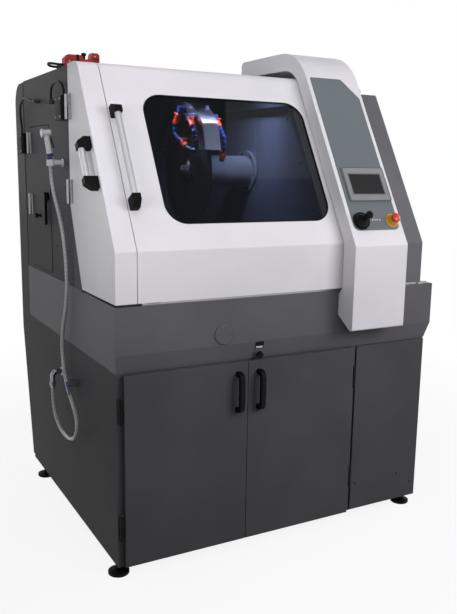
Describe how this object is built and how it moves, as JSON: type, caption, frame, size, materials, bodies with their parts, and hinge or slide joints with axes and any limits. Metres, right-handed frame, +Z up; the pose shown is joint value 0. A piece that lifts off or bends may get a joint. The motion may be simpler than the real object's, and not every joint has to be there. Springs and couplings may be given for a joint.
{
  "type": "abrasive cut-off machine",
  "caption": "Floor-standing abrasive cut-off machine: grey cabinet, coolant tub, white sliding hood with window, hinged side door, curved control column, wheel and table inside",
  "frame": {"origin": "on the floor, under the middle of the whole machine's box", "axes": "+Z up, the front with the doors and window faces -Y, +X is to the right seen from the front"},
  "size_m": [1.6065, 1.5697, 2.095],
  "materials": {
    "white_powder_coat": "fine orange-peel powder coat, half gloss",
    "dark_grey_powder_coat": "fine-textured powder coat, satin",
    "grey_powder_coat": "fine-textured powder coat, satin",
    "chamber_paint": "smooth light paint",
    "grey_panel_film": "printed film, matt",
    "black_plastic": "moulded, fine grain",
    "black_rubber": "smooth, matt",
    "yellow_plastic": "moulded",
    "red_plastic": "moulded",
    "blue_plastic": "moulded",
    "white_plastic": "moulded",
    "aluminium_tube": "drawn and anodised, satin",
    "clear_sheet": "clear, polished",
    "chromed_steel": "plated, bright",
    "steel": "ground",
    "guard_sheet": "rolled sheet, satin",
    "machine_casting": "smooth paint",
    "motor_paint": "smooth paint",
    "tank_sheet": "rolled sheet",
    "abrasive": "resin-bonded grit",
    "grey_hose": "smooth, satin"
  },
  "bodies": {
    "machine": {"base_cabinet": "dark_grey_powder_coat", "right_front_panel": "dark_grey_powder_coat", "levelling_feet": "black_plastic", "coolant_tub": "grey_powder_coat", "left_wall": "dark_grey_powder_coat", "rear_cover": "dark_grey_powder_coat", "roof_panel": "dark_grey_powder_coat", "right_housing": "dark_grey_powder_coat", "chamber_walls": "chamber_paint", "console_column": "white_powder_coat", "control_panel": "grey_panel_film", "touch_panel": "black_plastic", "estop_collar": "yellow_plastic", "door_rails": "steel", "door_hinges": "chromed_steel", "cabinet_hinges": "black_plastic", "hinge_switches": "black_plastic", "roof_interlock": "red_plastic", "handset_holder": "white_plastic", "handset": "white_plastic", "hose_elbow": "chromed_steel", "ball_valve": "chromed_steel", "shower_hose": "grey_hose", "door_switch_cable": "black_rubber", "hatch_switch_cable": "black_rubber", "interlock_cable": "black_rubber", "head_guides": "steel", "table_ways": "steel", "coolant_tank": "tank_sheet", "coolant_pump": "motor_paint"},
    "left_door": {"left_door": "white_powder_coat", "left_door_leaves": "chromed_steel", "left_door_handle": "aluminium_tube", "left_handle_caps": "black_plastic"},
    "front_door": {"front_door": "white_powder_coat", "window_pane": "clear_sheet", "front_door_handle": "aluminium_tube", "front_handle_brackets": "black_plastic"},
    "side_hatch": {"side_hatch": "dark_grey_powder_coat", "hatch_leaves": "chromed_steel"},
    "hatch_latch": {"hatch_latch": "black_plastic"},
    "left_cabinet_door": {"left_cabinet_door": "dark_grey_powder_coat", "left_bow_handle": "black_plastic"},
    "right_cabinet_door": {"right_cabinet_door": "dark_grey_powder_coat", "right_bow_handle": "black_plastic"},
    "estop_stem": {"estop_stem": "black_plastic"},
    "estop_head": {"estop_head": "red_plastic"},
    "joystick_boot": {"joystick_boot": "black_rubber"},
    "joystick_lever": {"joystick_lever": "black_plastic"},
    "push_button": {"push_button": "black_plastic"},
    "valve_lever": {"valve_lever": "blue_plastic"},
    "handset_trigger": {"handset_trigger": "black_plastic"},
    "cutting_head": {"spindle_head": "machine_casting", "spindle_motor": "motor_paint", "wheel_guard": "guard_sheet", "coolant_hoses": "blue_plastic"},
    "spindle": {"spindle_shaft": "steel", "cutting_wheel": "abrasive"},
    "feed_screw": {"feed_screw": "steel"},
    "cutting_table": {"cutting_table": "steel"}
  },
  "joints": [
    {"name": "left_door_swing", "type": "hinge", "parent": "machine", "child": "left_door", "pos_m": [-0.731, -0.157, 1.53], "axis": [0, 0, -1], "range_deg": [0, 95]},
    {"name": "front_door_slide", "type": "slide", "parent": "machine", "child": "front_door", "axis": [1, 0, 0], "range_m": [0, 0.4]},
    {"name": "side_hatch_swing", "type": "hinge", "parent": "machine", "child": "side_hatch", "pos_m": [-0.721, 0.521, 1.43], "axis": [0, 0, -1], "range_deg": [0, 100]},
    {"name": "hatch_latch_turn", "type": "hinge", "parent": "side_hatch", "child": "hatch_latch", "pos_m": [-0.714, 0.217, 1.44], "axis": [1, 0, 0], "range_deg": [0, 90]},
    {"name": "left_cabinet_door_swing", "type": "hinge", "parent": "machine", "child": "left_cabinet_door", "pos_m": [-0.7, -0.657, 0.43], "axis": [0, 0, -1], "range_deg": [0, 110]},
    {"name": "right_cabinet_door_swing", "type": "hinge", "parent": "machine", "child": "right_cabinet_door", "pos_m": [0.382, -0.657, 0.43], "axis": [0, 0, 1], "range_deg": [0, 110]},
    {"name": "estop_press", "type": "slide", "parent": "machine", "child": "estop_stem", "axis": [0, 0.8686, -0.4955], "range_m": [0, 0.005], "stiffness_N_per_m": 2500, "springref_m": -0.001},
    {"name": "estop_twist", "type": "hinge", "parent": "estop_stem", "child": "estop_head", "pos_m": [0.504, -0.73633, 1.38335], "axis": [0, 0.8686, -0.4955], "range_deg": [0, 45], "stiffness_Nm_per_rad": 0.05},
    {"name": "joystick_tilt", "type": "hinge", "parent": "machine", "child": "joystick_boot", "pos_m": [0.337, -0.7151, 1.37009], "axis": [1, 0, 0], "range_deg": [-12, 12], "stiffness_Nm_per_rad": 0.6},
    {"name": "joystick_swing", "type": "hinge", "parent": "joystick_boot", "child": "joystick_lever", "pos_m": [0.337, -0.7151, 1.37009], "axis": [0, 0.4955, 0.8686], "range_deg": [-12, 12], "stiffness_Nm_per_rad": 0.6},
    {"name": "push_button_press", "type": "slide", "parent": "machine", "child": "push_button", "axis": [0, 0.9686, 0.2487], "range_m": [0, 0.005], "stiffness_N_per_m": 600, "springref_m": -0.001},
    {"name": "valve_lever_turn", "type": "hinge", "parent": "machine", "child": "valve_lever", "pos_m": [-0.76, -0.165, 0.667], "axis": [-1, 0, 0], "range_deg": [0, 90]},
    {"name": "handset_trigger_squeeze", "type": "hinge", "parent": "machine", "child": "handset_trigger", "pos_m": [-0.76253, -0.025, 1.69314], "axis": [0, 1, 0], "range_deg": [0, 6], "stiffness_Nm_per_rad": 0.4, "springref_deg": -2.86},
    {"name": "head_feed", "type": "slide", "parent": "machine", "child": "cutting_head", "axis": [0, 0, -1], "range_m": [0, 0.185]},
    {"name": "spindle_spin", "type": "hinge", "parent": "cutting_head", "child": "spindle", "pos_m": [-0.098, 0.045, 1.563], "axis": [1, 0, 0], "continuous": true},
    {"name": "feed_screw_turn", "type": "hinge", "parent": "machine", "child": "feed_screw", "pos_m": [0.2735, 0.223, 1.5], "axis": [0, 0, 1], "range_deg": [0, 3331]},
    {"name": "table_slide", "type": "slide", "parent": "machine", "child": "cutting_table", "axis": [0, 1, 0], "range_m": [-0.11, 0.11]}
  ],
  "couplings": [
    {"joint": "feed_screw_turn", "follows": "head_feed", "rad_per_m": 314.16}
  ]
}
